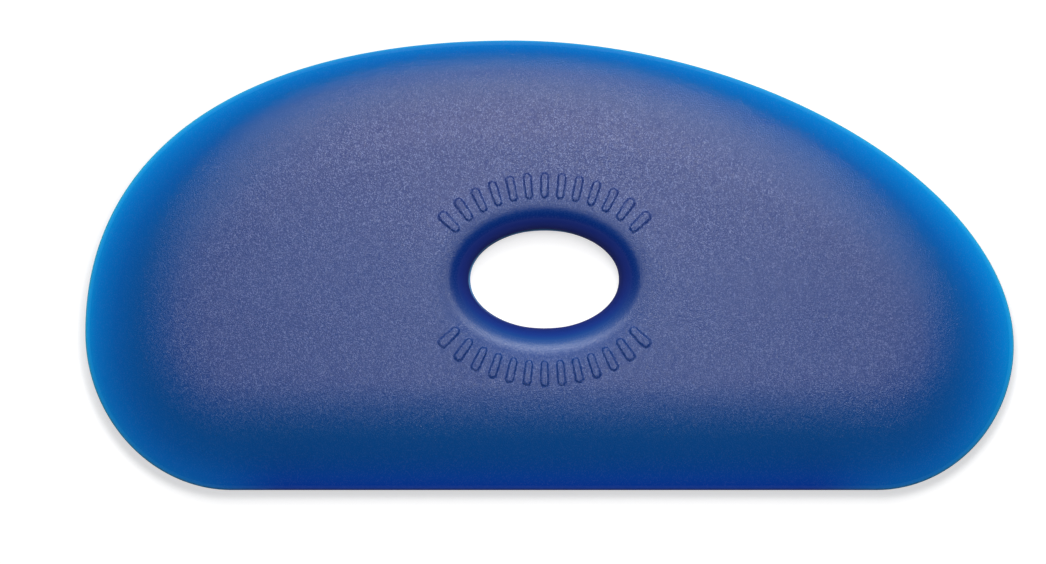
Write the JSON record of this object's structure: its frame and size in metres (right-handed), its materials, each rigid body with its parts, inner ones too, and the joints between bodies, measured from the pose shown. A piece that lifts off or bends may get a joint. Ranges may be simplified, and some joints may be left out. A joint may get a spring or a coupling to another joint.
{
  "type": "pottery rib",
  "caption": "Flexible kidney-shaped pottery rib with one straight edge, a thin tapered rim all round and an oval finger hole.",
  "frame": {"origin": "centre of the bounding box, on the back face that the rib lies on", "axes": "+X from the left tip to the right tip along the straight edge, +Y from the straight edge to the crown, +Z through the thickness, out of the front face"},
  "size_m": [0.1048, 0.0508, 0.0066],
  "materials": {
    "blue_rubber": "satin, finely grained, slightly translucent at the thin edge"
  },
  "bodies": {
    "root": {"rib": "blue_rubber"}
  },
  "joints": []
}
